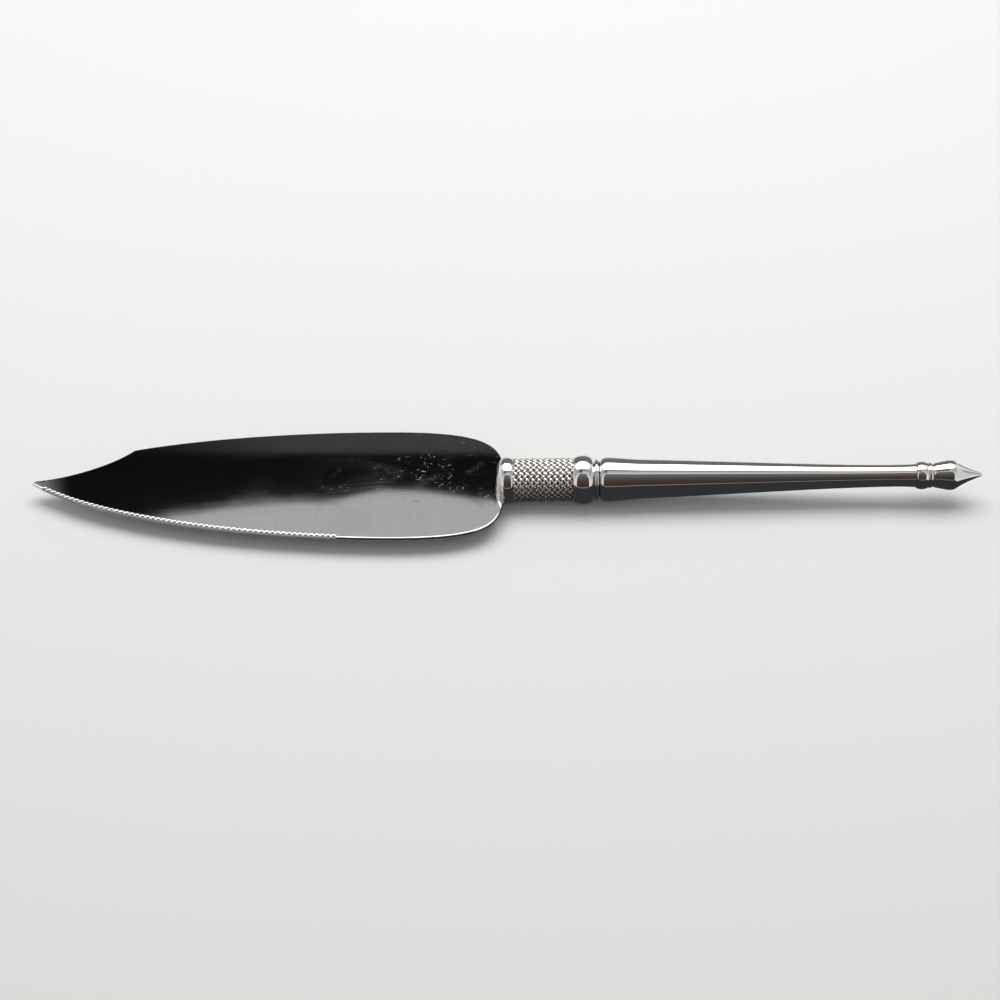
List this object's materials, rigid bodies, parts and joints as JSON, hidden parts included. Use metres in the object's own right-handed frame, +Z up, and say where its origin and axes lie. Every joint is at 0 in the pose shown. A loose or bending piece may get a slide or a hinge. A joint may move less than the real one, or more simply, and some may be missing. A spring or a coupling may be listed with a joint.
{
  "type": "pie server",
  "caption": "Polished pie server with a pointed leaf-shaped blade, one serrated edge, and a beaded handle with a woven wire band.",
  "frame": {"origin": "middle of the bounding box, on the surface that the server lies on", "axes": "+X along the length towards the finial, +Y towards the blade's plain edge, +Z up out of the blade's carrying face"},
  "size_m": [0.3202, 0.055, 0.0166],
  "materials": {
    "blade_steel": "polished stainless sheet with fine scratches",
    "handle_metal": "mirror-polished turned metal",
    "band_wire": "bright wire with darkened hollows",
    "rod_steel": "plain turned steel"
  },
  "bodies": {
    "root": {"blade": "blade_steel", "bolster": "handle_metal", "core_rod": "rod_steel", "woven_band": "band_wire", "collar": "handle_metal", "grip": "handle_metal", "finial": "handle_metal"}
  },
  "joints": []
}
